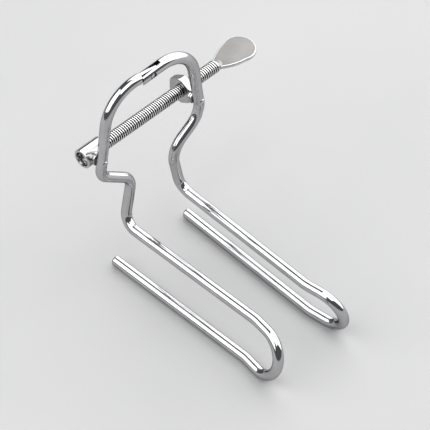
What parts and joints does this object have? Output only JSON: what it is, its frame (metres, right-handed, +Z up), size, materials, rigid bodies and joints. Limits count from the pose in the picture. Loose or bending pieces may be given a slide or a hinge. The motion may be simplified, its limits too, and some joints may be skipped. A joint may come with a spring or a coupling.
{
  "type": "screw-spread wire cheek retractor",
  "caption": "Hand-held dental retractor: two hinged wire arms with hairpin blades, held open by a thumb-turned screw behind the bow.",
  "frame": {"origin": "on the plane that the two lower blade wires rest on, straight below the hinge pin", "axes": "+X towards the thumb paddle, -Y along the blades to their closed ends, +Z up through the hinge; the screw turns 2.7 degrees rearwards from +X"},
  "size_m": [0.073, 0.0841, 0.0733],
  "materials": {
    "arm_wire": "polished",
    "pivot_steel": "polished",
    "sleeve_steel": "polished",
    "nut_steel": "polished",
    "screw_steel": "polished thread",
    "paddle_steel": "satin"
  },
  "bodies": {
    "left_frame": {"left_arm": "arm_wire"},
    "right_frame": {"right_arm": "arm_wire", "hinge_pin": "pivot_steel"},
    "sleeve": {"end_sleeve": "sleeve_steel", "sleeve_stud": "pivot_steel"},
    "screw": {"screw_rod": "screw_steel", "end_ring": "pivot_steel", "thumb_paddle": "paddle_steel"},
    "nut": {"drive_nut": "nut_steel", "nut_stud": "pivot_steel"}
  },
  "joints": [
    {"name": "bow_hinge", "type": "hinge", "parent": "left_frame", "child": "right_frame", "pos_m": [0, 0, 0.0709], "axis": [0.0471, -0.9989, 0], "range_deg": [-15, 20]},
    {"name": "sleeve_swivel", "type": "hinge", "parent": "left_frame", "child": "sleeve", "pos_m": [-0.01961, 0, 0.0478], "axis": [0.0471, -0.9989, 0], "range_deg": [-7.5, 10]},
    {"name": "screw_spin", "type": "hinge", "parent": "sleeve", "child": "screw", "pos_m": [-0.00028, 0.00599, 0.0478], "axis": [-0.9989, -0.0471, 0], "range_deg": [-2741, 3655]},
    {"name": "nut_swivel", "type": "hinge", "parent": "right_frame", "child": "nut", "pos_m": [0.01961, 0, 0.0478], "axis": [0.0471, -0.9989, 0], "range_deg": [-10, 7.5]}
  ],
  "couplings": [
    {"joint": "bow_hinge", "follows": "screw_spin", "ratio": 0.0054705},
    {"joint": "sleeve_swivel", "follows": "screw_spin", "ratio": 0.0027352},
    {"joint": "nut_swivel", "follows": "screw_spin", "ratio": -0.0027352}
  ]
}
